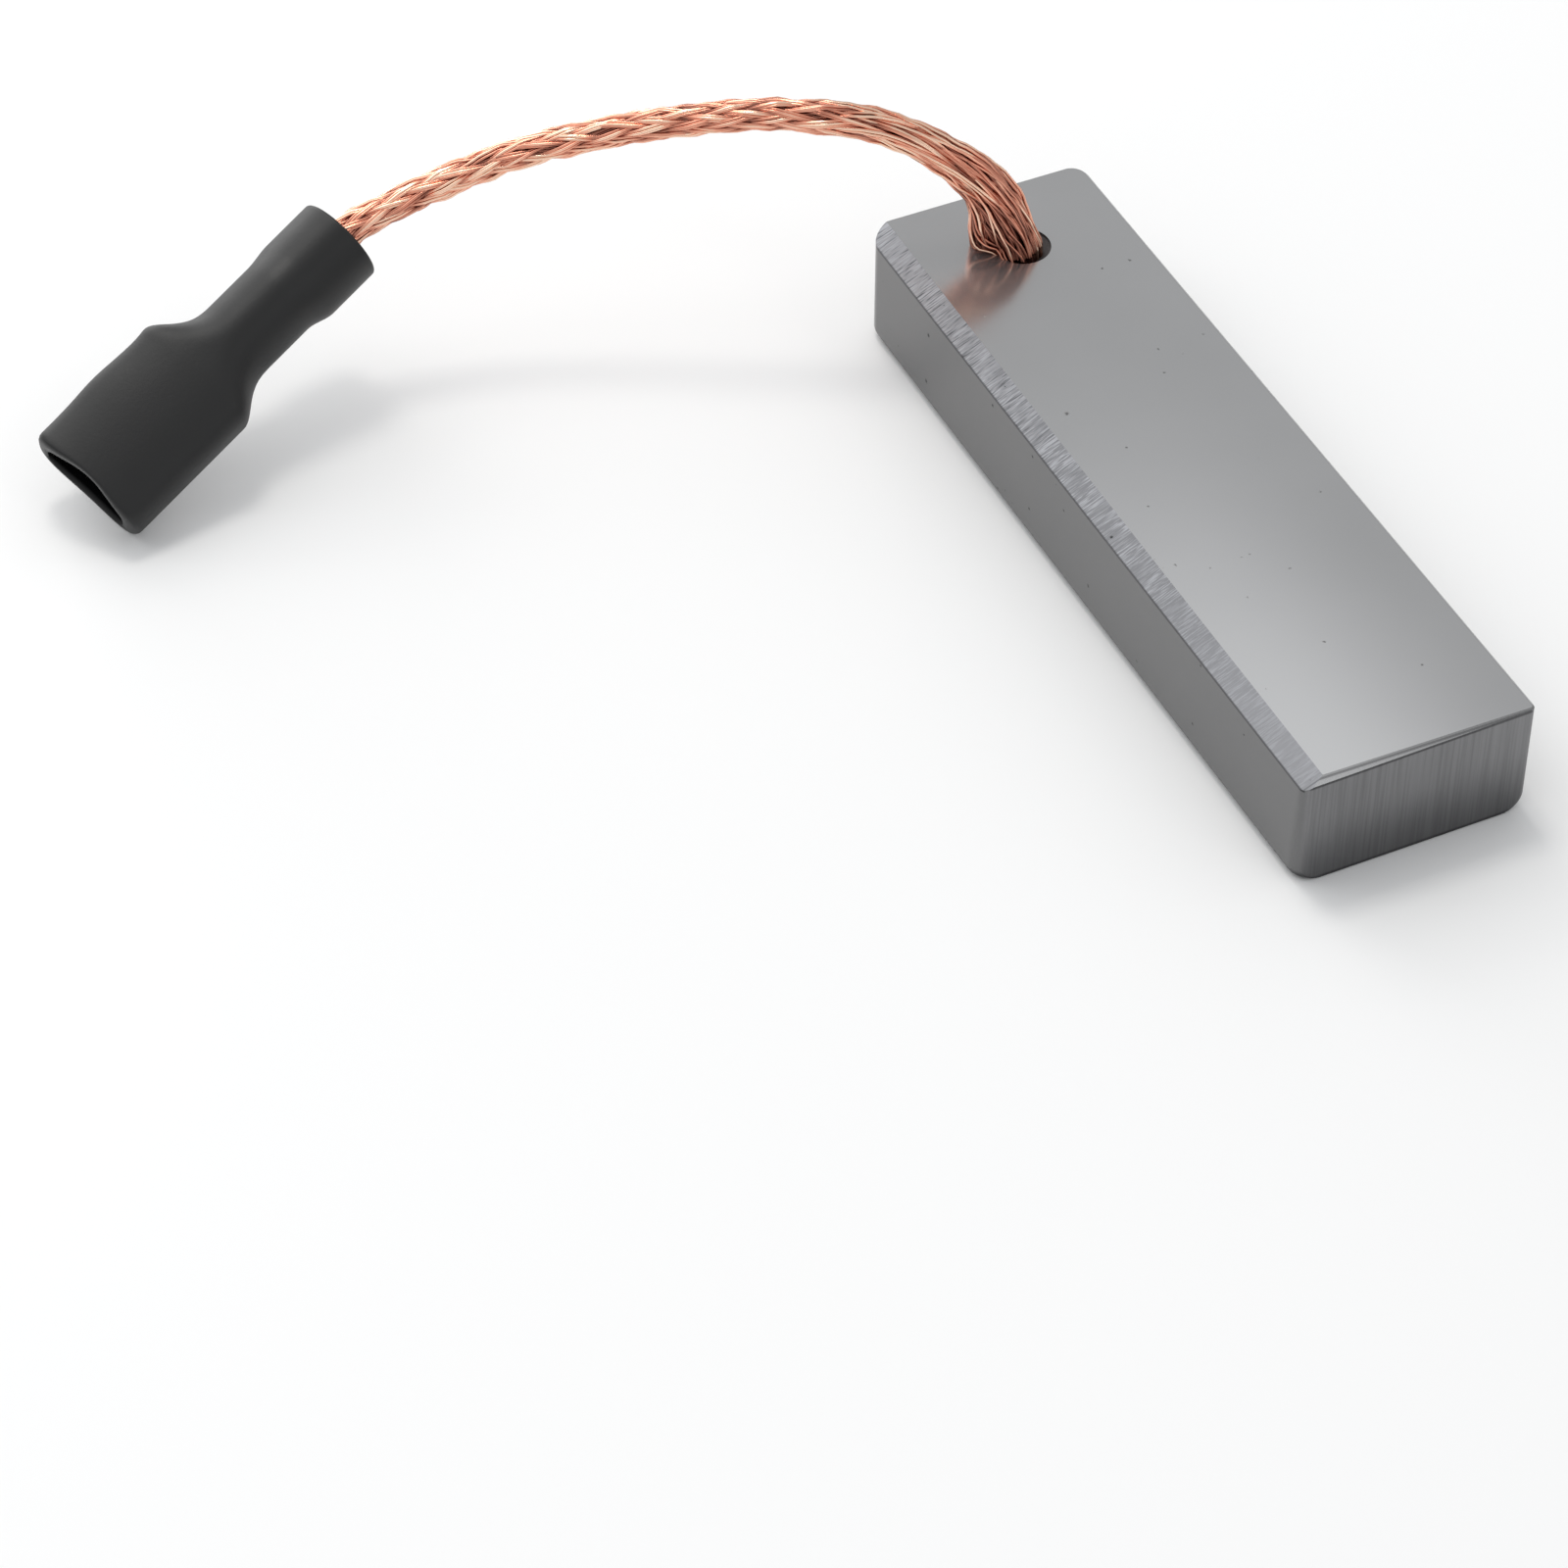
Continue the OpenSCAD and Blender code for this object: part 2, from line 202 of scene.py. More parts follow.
def spline(points, step):
    """Points at even steps along the natural cubic spline through the given ones."""
    p = np.array(points, float)
    at = np.concatenate([[0], np.cumsum(np.linalg.norm(np.diff(p, axis=0), axis=1))])
    gap = np.diff(at)
    rise = np.diff(p, axis=0) / gap[:, None]
    system = np.eye(len(p))
    right = np.zeros_like(p)
    for i in range(1, len(p) - 1):
        system[i, i - 1:i + 2] = gap[i - 1], 2 * (gap[i - 1] + gap[i]), gap[i]
        right[i] = 6 * (rise[i] - rise[i - 1])
    bend = np.linalg.solve(system, right)
    u = np.linspace(0, at[-1], SPLINE_SAMPLES)
    k = np.clip(np.searchsorted(at, u, side="right") - 1, 0, len(gap) - 1)
    w = ((u - at[k]) / gap[k])[:, None]
    g = gap[k][:, None]
    fine = (
        (1 - w) * p[k] + w * p[k + 1]
        + g * g / 6 * (((1 - w) ** 3 - (1 - w)) * bend[k] + (w ** 3 - w) * bend[k + 1])
    )
    run = np.concatenate([[0], np.cumsum(np.linalg.norm(np.diff(fine, axis=0), axis=1))])
    even = np.arange(0, run[-1], step)
    return np.stack([np.interp(even, run, fine[:, c]) for c in range(3)], 1)


def tangents(path):
    t = np.gradient(path, axis=0)
    return t / np.linalg.norm(t, axis=1)[:, None]


def steady_frame(path, first):
    """Two normals along a path that turn no more than the path itself, starting from first.

    Each step reflects the last normal twice, which carries it on without a twist.
    """
    t = tangents(path)
    n = [unit(first - np.dot(first, t[0]) * t[0])]
    for i in range(len(path) - 1):
        v = path[i + 1] - path[i]
        n_side = n[i] - 2 / v.dot(v) * v.dot(n[i]) * v
        t_side = t[i] - 2 / v.dot(v) * v.dot(t[i]) * v
        w = t[i + 1] - t_side
        n.append(unit(n_side - 2 / max(w.dot(w), 1e-12) * w.dot(n_side) * w))
    n = np.array(n)
    return n, np.cross(t, n)


def slow_noise(rng, s, wavelength):
    """A smooth random curve along s of about unit height."""
    knots = np.arange(s[0] - wavelength, s[-1] + 2 * wavelength, wavelength)
    values = rng.normal(0, 1, len(knots))
    w = (s - knots[0]) / wavelength
    k = np.clip(w.astype(int), 0, len(knots) - 2)
    f = w - k
    f = f * f * (3 - 2 * f)
    return values[k] * (1 - f) + values[k + 1] * f


def ring_faces(rings, sides, joined=False):
    """Quads between rings of points, the last joined to the first where the shell closes on itself."""
    i, k = np.meshgrid(np.arange(rings if joined else rings - 1), np.arange(sides), indexing="ij")
    j, after = (i + 1) % rings, (k + 1) % sides
    faces = np.stack([i * sides + k, i * sides + after, j * sides + after, j * sides + k], -1)
    return faces.reshape(-1, 4)


def tube(path, outward, radius, sides):
    """Rings of points round a path and the quads between them."""
    t = tangents(path)
    a = outward - np.sum(outward * t, 1)[:, None] * t
    a /= np.linalg.norm(a, axis=1)[:, None]
    b = np.cross(t, a)
    turn = np.arange(sides) * 2 * math.pi / sides
    ring = np.cos(turn)[None, :, None] * a[:, None] + np.sin(turn)[None, :, None] * b[:, None]
    return (path[:, None] + radius * ring).reshape(-1, 3), ring_faces(len(path), sides)


# braided lead

SEED = 7
CARRIERS = 12
WIRES = 3
WIRE_D = 0.16
WIRE_SIDES = 6
BRAID_STEP = 0.35
WEAVE = 0.1
# slight waves of the surface: height, then radians to the millimetre and phase on either side
UNEVEN = 0.05
UNEVEN_IN = [(2.9, 0), (4.7, 1)]
UNEVEN_OUT = [(2.3, 2), (5.3, 0)]
CORE_DEPTH = 0.45
CORE_SIDES = 20
# the middle wire of a bundle stands above its neighbours
RIDGE = 0.05
RIDGE_FALL = 8
# the side of the lead that faces the inside of its bend
TOWARDS_SLEEVE = np.array([-0.45, -0.89, 0.0])
# length of one turn of the bundles: long where the braid opens at its root
TURN_AT = [0.0, 8.0, 15.0]
TURN_L = [75.0, 60.0, 26.0]
# the braid is loose at its root and tight after this stretch
LOOSE_FROM = 6.0
LOOSE_OVER = 8.0
# half width of the braid along it, towards the inside and the outside of its bend
SWELL_AT = [
    -4.2, -0.9, -0.4, 0.1, 0.4, 0.7, 1.1, 1.6, 2.2, 3.0, 4.2,
    6.2, 8.4, 11, 13, 15.5, 37.6, 39.0, 41, 48,
]
SWELL_IN = [
    0.85, 0.93, 1.3, 1.35, 1.45, 1.9, 2.3, 2.45, 2.3, 1.8, 1.15,
    0.98, 0.93, 0.93, 0.88, 0.86, 0.86, 1.0, 0.86, 0.86,
]
SWELL_OUT = [
    0.85, 0.93, 1.0, 1.0, 1.0, 1.02, 1.08, 1.15, 1.25, 1.35, 1.45,
    1.3, 1.07, 1.0, 1.0, 0.86, 0.86, 1.0, 0.86, 0.86,
]
# the swelling keeps more to the inside at the root
SWELL_FOCUS = 2.2
SWELL_FOCUS_END = 5.0
# extra width of the bundle that leans on the front of the hole's rim
FRONT_ANGLE = 1.25
FRONT_FOCUS = 3
FRONT_AT = [-1.2, -0.4, 0.1, 0.8, 1.8, 3.2]
FRONT = [0.0, 0.36, 0.48, 0.42, 0.25, 0.0]
# the wires stay inside the hole and only spread above its rim
RIM_R = 1.4
RIM_FLARE = 3.0
RIM_CLEAR = 0.12
# groove between the two lobes of the opened root
CLEFT = 0.8
CLEFT_ANGLE = 0.65
CLEFT_TURN = 0.2
CLEFT_WIDTH = 0.5
CLEFT_START = 0.2
CLEFT_RISE = 0.8
CLEFT_END = 8.0
CLEFT_SHADE = 0.45
# painted shade on the underside of the bend near the root
BEND_SHADE_END = 9.0
BEND_SHADE = 0.18
BEND_SHADE_ALL_ROUND = 0.4
# tone of the wires: the middle value, painted light on a wire on top with painted shade where it dips
# under, and painted shade at a bundle's sides
TONE = 0.56
WEAVE_LIGHT_AND_SHADE = 0.5
BUNDLE_SIDE_SHADE = 2.5
# brightness of the braid along it
SHINE_AT = [0.0, 4.0, 8.5, 12.0, 17.0, 24.0, 36.0]
SHINE = [0.12, 0.12, 0.3, 0.14, -0.15, -0.02, 0.06]
# slow random drifts: strength, what is added where the braid is loose, and length of a swing
PHASE_DRIFT = (0.3, 0.0, 5.0)
WANDER = (0.08, 0.0, 4.0)
SHEEN = (0.2, 0.0, 2.2)
SPREAD_DRIFT = (0.1, 0.0, 6.0)
STRAY = (0.03, 0.09, 4.0)
HEIGHT_DRIFT = (0.015, 0.04, 2.5)
# painted glints: short lighter and darker streaks along each wire
GLINT_STREAK = (0.1, 0.17, 1.5)
# loose wires that fill the opened root
FILLERS = 70
FILLER_REACH = (-1.2, 12.0)
FILLER_JITTER = 0.3
FILLER_TURN = (0.5, 1.1)
FILLER_WANDER = (0.1, 0.0, 4.0)
FILLER_DEPTH = 0.3
FILLER_HEIGHT = (0.05, 0.0, 2.0)
FILLER_TONE = (0.1, 0.6)
# the fillers go under the braid where it tightens
SINK = 0.3
SINK_FROM = 8.0
SINK_OVER = 4.0

Line = namedtuple("Line", "s centre inner across turn loose")


class Strands:
    """Tubes gathered into one mesh, with a tone for each point."""

    def __init__(self):
        self.verts, self.faces, self.tones, self.count = [], [], [], 0

    def add(self, verts, faces, tones):
        self.verts.append(verts)
        self.faces.append(faces + self.count)
        self.tones.append(tones)
        self.count += len(verts)

    def add_wire(self, points, out, tone):
        self.add(*tube(points, out, WIRE_D / 2, WIRE_SIDES), np.repeat(tone, WIRE_SIDES))


def lead_route():
    ends = [at_terminal(x, 0, WIRE_Z) / MM for x in (SLEEVE_L, GRIP_X, WIRE_X + LEAD_TRIM)]
    return [*HOLE_STUB, ROOT, *FREE_ROUTE, *ends]


def braid_line():
    """The lead's centre line: distance from the hole's rim, point, two normals, turn and looseness."""
    centre = spline(lead_route(), BRAID_STEP)
    inner, across = steady_frame(centre, TOWARDS_SLEEVE)
    s = np.arange(len(centre)) * BRAID_STEP - (ROOT[2] - HOLE_STUB[0][2])
    turn = np.cumsum(2 * math.pi / np.interp(s, TURN_AT, TURN_L)) * BRAID_STEP
    loose = np.clip(1 - (s - LOOSE_FROM) / LOOSE_OVER, 0, 1)
    return Line(s, centre, inner, across, turn, loose)


def drift(rng, line, kind):
    """A slow random curve along the lead."""
    strength, when_loose, swing = kind
    return (strength + when_loose * line.loose) * slow_noise(rng, line.s, swing)


def facing(angle, towards):
    """1 where an angle round the lead is the given one, 0 on the far side."""
    return (1 + np.cos(angle - towards)) / 2


def cleft_share(s, angle):
    """How far a place on the braid lies in the groove of the root, 0 to 1."""
    off = (angle - CLEFT_ANGLE - CLEFT_TURN * s + math.pi) % (2 * math.pi) - math.pi
    along = np.clip((s - CLEFT_START) / CLEFT_RISE, 0, 1) * np.clip(1 - s / CLEFT_END, 0, 1)
    return along * np.exp(-(off / CLEFT_WIDTH) ** 2)


def root_shade(s, angle):
    """Painted shade in the root's groove and on the inside of its bend."""
    under = BEND_SHADE_ALL_ROUND + (1 - BEND_SHADE_ALL_ROUND) * facing(angle, 0)
    return BEND_SHADE * np.clip(1 - s / BEND_SHADE_END, 0, 1) * under + CLEFT_SHADE * cleft_share(s, angle)


def waves(s, kinds):
    """The mean of some waves along the braid."""
    return UNEVEN * sum(np.sin(pace * s + phase) for pace, phase in kinds) / len(kinds)


def braid_surface(line, angle, depth):
    """Points at a depth under the braid's surface, at an angle from the inside of its bend."""
    s = line.s
    inside = np.interp(s, SWELL_AT, SWELL_IN) + waves(s, UNEVEN_IN)
    outside = np.interp(s, SWELL_AT, SWELL_OUT) + waves(s, UNEVEN_OUT)
    focus = 1 + (SWELL_FOCUS - 1) * np.clip(1 - s / SWELL_FOCUS_END, 0, 1)
    radius = outside + (inside - outside) * facing(angle, 0) ** focus - depth
    radius = radius + np.interp(s, FRONT_AT, FRONT) * facing(angle, FRONT_ANGLE) ** FRONT_FOCUS
    radius = radius - CLEFT * cleft_share(s, angle)
    radius = np.minimum(radius, RIM_R + RIM_FLARE * np.clip(s - RIM_CLEAR, 0, None))
    out = np.cos(angle)[:, None] * line.inner + np.sin(angle)[:, None] * line.across
    return line.centre + radius[:, None] * out, out


def add_core(strands, line):
    """A dark core under the wires, so that no light comes through; its lowest tone paints shade between
    the wires.
    """
    around = np.arange(CORE_SIDES) * 2 * math.pi / CORE_SIDES
    rings = [braid_surface(line, np.full(len(line.s), a), CORE_DEPTH)[0] for a in around]
    verts = np.stack(rings, 1).reshape(-1, 3)
    strands.add(verts, ring_faces(len(line.s), CORE_SIDES), np.zeros(len(verts)))


def add_carrier(strands, line, rng, way, carrier):
    """The wires of one carrier, over and under those that turn the other way."""
    start = 2 * math.pi * carrier / CARRIERS
    phase = carrier + way * CARRIERS * line.turn / math.pi + drift(rng, line, PHASE_DRIFT)
    over = way * np.cos(math.pi / 2 * (carrier + phase - 0.5))
    wander = drift(rng, line, WANDER)
    sheen = drift(rng, line, SHEEN) + np.interp(line.s, SHINE_AT, SHINE)
    for wire in range(WIRES):
        place = (wire - (WIRES - 1) / 2) / WIRES
        spread = 2 * math.pi / CARRIERS * place * (1 + drift(rng, line, SPREAD_DRIFT))
        angle = start + way * line.turn + spread + wander + drift(rng, line, STRAY)
        ridge = RIDGE * (1 - RIDGE_FALL * place * place)
        height = WEAVE * over + ridge + drift(rng, line, HEIGHT_DRIFT)
        points, out = braid_surface(line, angle, WIRE_D / 2 + WEAVE + RIDGE - height)
        # painted light and shade: wires on top are lighter, wires dipping under and the sides of a
        # bundle darker
        tone = TONE + WEAVE_LIGHT_AND_SHADE * over + sheen + drift(rng, line, GLINT_STREAK)
        tone = tone - BUNDLE_SIDE_SHADE * place * place - root_shade(line.s, angle)
        strands.add_wire(points, out, tone)


def add_filler(strands, line, rng, filler):
    """One loose wire in the opened root."""
    start = 2 * math.pi * (filler + rng.uniform(-FILLER_JITTER, FILLER_JITTER)) / FILLERS
    way = 1 if filler % 2 else -1
    angle = start + way * line.turn * rng.uniform(*FILLER_TURN) + drift(rng, line, FILLER_WANDER)
    sink = SINK * np.clip((line.s - SINK_FROM) / SINK_OVER, 0, 1)
    depth = WIRE_D + rng.uniform(0.0, FILLER_DEPTH) + drift(rng, line, FILLER_HEIGHT) + sink
    points, out = braid_surface(line, angle, depth)
    strands.add_wire(points, out, rng.uniform(*FILLER_TONE) - root_shade(line.s, angle))


def make_lead(material):
    rng = np.random.default_rng(SEED)
    line = braid_line()
    strands = Strands()
    add_core(strands, line)
    for way in (1, -1):
        for carrier in range(CARRIERS):
            add_carrier(strands, line, rng, way, carrier)
    near = (line.s >= FILLER_REACH[0]) & (line.s <= FILLER_REACH[1])
    root_line = Line(*(values[near] for values in line))
    for filler in range(FILLERS):
        add_filler(strands, root_line, rng, filler)
    piece = make_object(
        "braided_lead",
        np.concatenate(strands.verts) * MM,
        np.concatenate(strands.faces),
        material,
        {"tone": np.concatenate(strands.tones)},
    )
    return piece, line.centre


# shrunk sleeve

SLEEVE_SIDES = 144
SLEEVE_STEP = 0.16
LIP_R = 0.15
LIP_STEPS = 5
INNER_RINGS = 60
INNER_LIP = 0.4
# slight swellings of the flat section's left edge: place along the sleeve, height and reach
SWELLINGS = [(4.3, 0.13, 1.6), (8.2, 0.1, 0.7)]
TO_NECK = (WEB_X + NARROW_FROM, WIRE_X + NARROW_TO)
TO_END = (GRIP_X - WIDEN_L, GRIP_X)


def ease(t):
    t = np.clip(t, 0, 1)
    return t * t * (3 - 2 * t)


def sleeve_shares(x):
    """How far the section at x has gone from flat to neck, and from neck to end."""
    to_neck = np.clip((x - TO_NECK[0]) / (TO_NECK[1] - TO_NECK[0]), 0, 1)
    to_end = (x - TO_END[0]) / (TO_END[1] - TO_END[0])
    return ease(1 - (1 - to_neck) ** NARROW_LEAD), ease(to_end)


def mix_sections(x, flat, neck, end):
    """A size of the sleeve at x from its values at the three sections."""
    to_neck, to_end = sleeve_shares(x)
    return flat + (neck - flat) * to_neck + (end - neck) * to_end


def curl_in(x):
    """What the curl at the mouth takes off the half width."""
    return MOUTH_R - math.sqrt(MOUTH_R ** 2 - (MOUTH_R - x) ** 2) if x < MOUTH_R else 0.0


def sleeve_ring(x, inset):
    """One section of the sleeve, a rounded rectangle that turns into a circle."""
    neck_r = WIRE_R + SNUG_R + WALL_NECK
    end_r = GRIP_R + SNUG_R + WALL_END
    half_w = mix_sections(x, RECEPT_HALF_W + SNUG_W + WALL_FLAT, neck_r, end_r)
    half_h = mix_sections(x, RECEPT_HALF_H + SNUG_H + WALL_FLAT, neck_r, end_r)
    middle = mix_sections(x, 0.0, WIRE_Z, GRIP_Z)
    flatness = 1 - sleeve_shares(x)[0]
    power = 2 + (SQUARENESS - 2) * flatness
    around = np.arange(SLEEVE_SIDES) * 2 * math.pi / SLEEVE_SIDES
    cos, sin = np.cos(around), np.sin(around)
    at_edge = half_w - inset - curl_in(x)
    y = at_edge * np.sign(cos) * np.abs(cos) ** (2 / power)
    z = (half_h - inset) * np.sign(sin) * np.abs(sin) ** (2 / power)
    reach = np.clip(np.abs(y) / (ARCH_SPAN * half_w), 0, 1)
    arch = np.where(sin > 0, CROWN, HOLLOW) * np.cos(reach * math.pi / 2) ** 2
    dip = np.where(sin > 0, MOUTH_DIP, 0) * np.cos(y / at_edge * math.pi / 2) ** 2
    swell = sum(height * math.exp(-((x - place) / length) ** 2) for place, height, length in SWELLINGS)
    y = y + swell * np.clip(y / half_w, 0, 1)
    return x + dip * max(0, 1 - x / DIP_L) ** 2, y, z + arch * flatness ** 2 + middle


def make_sleeve(material):
    """Outer skin, rounded cut ends and inner skin, as one closed shell."""
    turns = np.linspace(0, math.pi / 2, LIP_STEPS)
    lip = [(LIP_R * (1 - math.cos(a)), LIP_R * (1 - math.sin(a))) for a in turns]
    between = [(x, 0.0) for x in np.arange(LIP_R, SLEEVE_L - LIP_R, SLEEVE_STEP)[1:]]
    outer = [*lip, *between, *((SLEEVE_L - x, inset) for x, inset in reversed(lip))]
    depths = np.linspace(SLEEVE_L, 0, INNER_RINGS)
    inner = [(x, mix_sections(x, WALL_FLAT, WALL_NECK, WALL_END)) for x in depths]
    rings = [at_terminal(*sleeve_ring(x, inset)) for x, inset in outer + inner]
    inside = [0.0] * len(outer) + [INNER_LIP] + [1.0] * (len(inner) - 2) + [0.0]
    return make_object(
        "shrunk_sleeve",
        np.concatenate(rings),
        ring_faces(len(rings), SLEEVE_SIDES, joined=True),
        material,
        {"inside": np.repeat(inside, SLEEVE_SIDES)},
    )


# carbon block, with the roundings of its edges blended at the corners

FOOT_LEFT = 0.7
FOOT_RIGHT = 1.05
LEAD_END_LEFT = 1.3
LEAD_END_RIGHT = 0.8
LEAD_FOOT = 0.5
# the contact end: its left upright edge is rounder towards the foot
CONTACT_LEFT_TOP = 0.45
CONTACT_LEFT_FOOT = 0.95
CONTACT_RIGHT = 0.35
CONTACT_FOOT = 0.12
ARC_STEPS = 9
WALL_STEPS = 6
HOLE_SIDES = 96
CREASE = math.radians(24)
# what always stays of the chamfer where the corner's rounding eats it up
SLIVER = 0.002
# stations closer than this are one
STATION_GAP = 1e-5


def rounding(depth, r):
    """What an edge's rounding takes off a wall at a depth from the end."""
    return r - math.sqrt(r * r - max(0.0, r - depth) ** 2)


def left_cut(x, z):
    """What the two upright roundings take off the left wall at x and height z."""
    contact = CONTACT_LEFT_FOOT + (CONTACT_LEFT_TOP - CONTACT_LEFT_FOOT) * z / BLOCK_T
    return rounding(BLOCK_L / 2 + x, LEAD_END_LEFT) + rounding(BLOCK_L / 2 - x, contact)


def block_ring(x):
    """Section of the block at x, from the left foot round to the left wall."""
    to_lead, to_contact = BLOCK_L / 2 + x, BLOCK_L / 2 - x
    low = rounding(to_lead, LEAD_FOOT) + rounding(to_contact, CONTACT_FOOT)
    right = BLOCK_W / 2 - rounding(to_lead, LEAD_END_RIGHT) - rounding(to_contact, CONTACT_RIGHT)
    left = -BLOCK_W / 2
    arc = np.linspace(0, math.pi / 2, ARC_STEPS)
    ring = []
    for a in arc:
        z = low + FOOT_LEFT * (1 - math.sin(a))
        ring.append((left + left_cut(x, z) + FOOT_LEFT * (1 - math.cos(a)), z))
    for a in arc:
        ring.append((right - FOOT_RIGHT * (1 - math.sin(a)), low + FOOT_RIGHT * (1 - math.cos(a))))
    top_cut = left_cut(x, BLOCK_T - CHAMFER_DROP)
    under = BLOCK_T - CHAMFER_DROP * max(SLIVER, 1 - top_cut / CHAMFER_IN)
    ring += [
        (right, BLOCK_T - TOP_BREAK),
        (right - TOP_BREAK, BLOCK_T),
        (left + max(CHAMFER_IN, top_cut + SLIVER), BLOCK_T),
        (left + top_cut, under),
    ]
    for z in np.linspace(under, low + FOOT_LEFT, WALL_STEPS)[1:-1]:
        ring.append((left + left_cut(x, z), z))
    return [(x * MM, y * MM, z * MM) for y, z in ring]


def block_stations():
    """Places along the block, close together in the roundings of its ends."""
    arc = np.linspace(0, math.pi / 2, ARC_STEPS)
    lead_radii = (LEAD_END_LEFT, LEAD_END_RIGHT, LEAD_FOOT)
    contact_radii = (CONTACT_LEFT_FOOT, CONTACT_LEFT_TOP, CONTACT_RIGHT, CONTACT_FOOT)
    lead = {r * (1 - math.cos(a)) for r in lead_radii for a in arc}
    contact = {r * (1 - math.cos(a)) for r in contact_radii for a in arc}
    at = sorted([-BLOCK_L / 2 + depth for depth in lead] + [BLOCK_L / 2 - depth for depth in contact])
    return [x for x, before in zip(at, [-BLOCK_L, *at]) if x - before > STATION_GAP]


def bevel_contact_end(shape):
    """Cuts the leaning bevel off the upper edge of the contact end."""
    lean = math.atan(END_BEVEL_LEAN)
    bmesh.ops.bisect_plane(
        shape,
        geom=[*shape.verts, *shape.edges, *shape.faces],
        plane_co=((BLOCK_L / 2 - END_BEVEL) * MM, -BLOCK_W / 2 * MM, BLOCK_T * MM),
        plane_no=(math.cos(lean), -math.sin(lean), 1),
        dist=1e-8,
        clear_outer=True,
    )
    bmesh.ops.holes_fill(shape, edges=[e for e in shape.edges if e.is_boundary], sides=0)


def object_of(name, shape):
    """An undressed helper object, for cutting only."""
    mesh = bpy.data.meshes.new(name)
    shape.to_mesh(mesh)
    shape.free()
    return link(bpy.data.objects.new(name, mesh))


def lead_drill():
    """The drill for the lead's blind hole."""
    shape = bmesh.new()
    bmesh.ops.create_cone(
        shape,
        cap_ends=True,
        segments=HOLE_SIDES,
        radius1=HOLE_D / 2 * MM,
        radius2=HOLE_D / 2 * MM,
        depth=2 * HOLE_DEPTH * MM,
        matrix=Matrix.Translation(Vector(ROOT) * MM),
    )
    return object_of("drill", shape)


def whole_block():
    """The block before its hole is drilled."""
    rings = [block_ring(x) for x in block_stations()]
    sides = len(rings[0])
    shape = bmesh.new()
    verts = [shape.verts.new(point) for ring in rings for point in ring]
    for face in ring_faces(len(rings), sides):
        shape.faces.new([verts[i] for i in face])
    shape.faces.new(verts[:sides])
    shape.faces.new(verts[-sides:])
    bmesh.ops.recalc_face_normals(shape, faces=shape.faces)
    bevel_contact_end(shape)
    bmesh.ops.recalc_face_normals(shape, faces=shape.faces)
    return object_of("whole_block", shape)


def drilled_mesh():
    whole, drill = whole_block(), lead_drill()
    cut = whole.modifiers.new("hole", "BOOLEAN")
    cut.operation = "DIFFERENCE"
    cut.solver = "EXACT"
    cut.object = drill
    bpy.context.view_layer.update()
    mesh = bpy.data.meshes.new_from_object(whole.evaluated_get(bpy.context.evaluated_depsgraph_get()))
    for spent in (whole, drill):
        bpy.data.objects.remove(spent)
    return mesh


def make_block(material):
    mesh = drilled_mesh()
    points = [v.co.copy() for v in mesh.vertices]
    faces = [list(p.vertices) for p in mesh.polygons]
    piece = make_object("pressed_block", points, faces, material)
    piece.data.set_sharp_from_angle(angle=CREASE)
    even = piece.modifiers.new("even_shading", "WEIGHTED_NORMAL")
    even.keep_sharp = True
    even.weight = 100
    return piece


# materials


def new_material(name):
    material = bpy.data.materials.new(name)
    material.use_nodes = True
    nodes = material.node_tree.nodes
    nodes.clear()
    shader = nodes.new("ShaderNodeBsdfPrincipled")
    output = nodes.new("ShaderNodeOutputMaterial")
    material.node_tree.links.new(shader.outputs["BSDF"], output.inputs["Surface"])
    return material, shader


